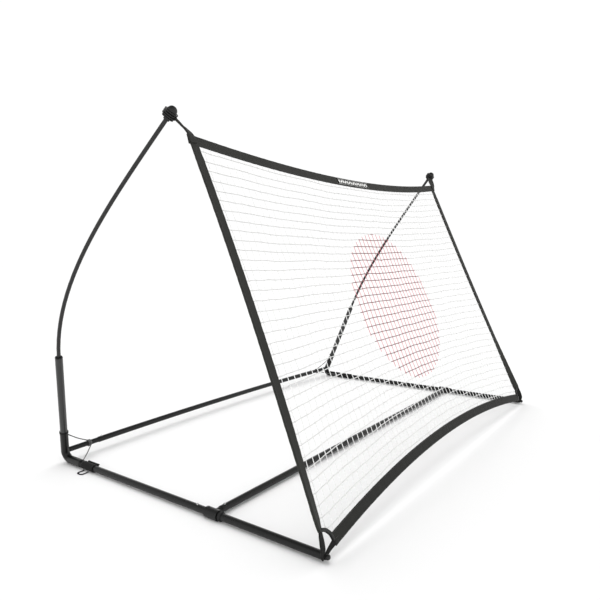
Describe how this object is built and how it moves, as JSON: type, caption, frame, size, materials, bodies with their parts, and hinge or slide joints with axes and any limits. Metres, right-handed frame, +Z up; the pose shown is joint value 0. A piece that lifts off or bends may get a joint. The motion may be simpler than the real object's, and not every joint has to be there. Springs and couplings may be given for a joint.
{
  "type": "golf chipping net",
  "caption": "Free-standing rebounder net for golf chips: a slanted square-mesh net with a round target, held by two flexed rods on a plug-together tube base.",
  "frame": {"origin": "on the ground, at the middle of the bounding box", "axes": "+X to the right along the cross bars, +Y to the back (the player stands on the -Y side), +Z up"},
  "size_m": [1.698, 1.0488, 1.0224],
  "materials": {
    "frame_steel": "glossy black powder coat",
    "bright_steel": "bright zinc plate",
    "spring_steel": "plain spring steel",
    "black_screw": "black oxide",
    "black_rubber": "matt",
    "black_plastic": "moulded, semi-matt",
    "fibreglass": "pultruded glass fibre, satin black",
    "webbing": "woven polyester webbing",
    "net_cord": "white braided cord, red inside the target",
    "label_cloth": "plain woven patch",
    "elastic_cord": "covered elastic"
  },
  "bodies": {
    "root": {"left_elbow": "frame_steel", "right_elbow": "frame_steel", "left_upright": "frame_steel", "right_upright": "frame_steel", "left_rod_bush": "black_plastic", "right_rod_bush": "black_plastic", "left_rear_rail": "frame_steel", "right_rear_rail": "frame_steel", "left_tee": "frame_steel", "right_tee": "frame_steel", "left_tee_screw": "black_screw", "right_tee_screw": "black_screw", "left_tee_ring": "black_rubber", "right_tee_ring": "black_rubber", "left_front_rail": "frame_steel", "right_front_rail": "frame_steel", "left_rail_plug": "black_plastic", "right_rail_plug": "black_plastic", "rear_bar_left": "frame_steel", "rear_bar_middle": "frame_steel", "rear_bar_right": "frame_steel", "mid_bar_left": "frame_steel", "mid_bar_middle": "frame_steel", "mid_bar_right": "frame_steel", "left_rail_spring": "spring_steel", "right_rail_spring": "spring_steel", "left_mid_spring": "spring_steel", "right_mid_spring": "spring_steel", "left_rear_spring": "spring_steel", "right_rear_spring": "spring_steel", "left_tether": "elastic_cord", "right_tether": "elastic_cord", "left_peg_strap": "webbing", "right_peg_strap": "webbing", "net": "net_cord", "top_hem": "webbing", "bottom_hem": "webbing", "left_hem": "webbing", "right_hem": "webbing", "left_corner_binding": "webbing", "right_corner_binding": "webbing", "left_lower_loop": "webbing", "right_lower_loop": "webbing", "label_patch": "label_cloth"},
    "left_bow": {"left_rod": "fibreglass", "left_ball_cap": "black_plastic", "left_top_strap": "webbing"},
    "right_bow": {"right_rod": "fibreglass", "right_ball_cap": "black_plastic", "right_top_strap": "webbing"},
    "left_rail_button": {"left_rail_button": "bright_steel"},
    "left_mid_button": {"left_mid_button": "bright_steel"},
    "left_rear_button": {"left_rear_button": "bright_steel"},
    "right_rail_button": {"right_rail_button": "bright_steel"},
    "right_mid_button": {"right_mid_button": "bright_steel"},
    "right_rear_button": {"right_rear_button": "bright_steel"}
  },
  "joints": [
    {"name": "left_bow_flex", "type": "hinge", "parent": "root", "child": "left_bow", "pos_m": [-0.82024, 0.38527, 0.34583], "axis": [0.7434, 0.5697, 0.3503], "range_deg": [0, 3], "stiffness_Nm_per_rad": 105, "springref_deg": -22.35, "deforming": ["left_top_strap"]},
    {"name": "right_bow_flex", "type": "hinge", "parent": "root", "child": "right_bow", "pos_m": [0.82024, 0.38527, 0.34583], "axis": [0.7434, -0.5697, -0.3503], "range_deg": [0, 3], "stiffness_Nm_per_rad": 105, "springref_deg": -22.35, "deforming": ["right_top_strap"]},
    {"name": "left_rail_button_press", "type": "slide", "parent": "root", "child": "left_rail_button", "axis": [0, 0, -1], "range_m": [0, 0.0049], "stiffness_N_per_m": 600, "springref_m": -0.004, "deforming": ["left_rail_spring"]},
    {"name": "left_mid_button_press", "type": "slide", "parent": "root", "child": "left_mid_button", "axis": [0, 0, -1], "range_m": [0, 0.0049], "stiffness_N_per_m": 600, "springref_m": -0.004, "deforming": ["left_mid_spring"]},
    {"name": "left_rear_button_press", "type": "slide", "parent": "root", "child": "left_rear_button", "axis": [0, 0, -1], "range_m": [0, 0.0049], "stiffness_N_per_m": 600, "springref_m": -0.004, "deforming": ["left_rear_spring"]},
    {"name": "right_rail_button_press", "type": "slide", "parent": "root", "child": "right_rail_button", "axis": [0, 0, -1], "range_m": [0, 0.0049], "stiffness_N_per_m": 600, "springref_m": -0.004, "deforming": ["right_rail_spring"]},
    {"name": "right_mid_button_press", "type": "slide", "parent": "root", "child": "right_mid_button", "axis": [0, 0, -1], "range_m": [0, 0.0049], "stiffness_N_per_m": 600, "springref_m": -0.004, "deforming": ["right_mid_spring"]},
    {"name": "right_rear_button_press", "type": "slide", "parent": "root", "child": "right_rear_button", "axis": [0, 0, -1], "range_m": [0, 0.0049], "stiffness_N_per_m": 600, "springref_m": -0.004, "deforming": ["right_rear_spring"]}
  ]
}
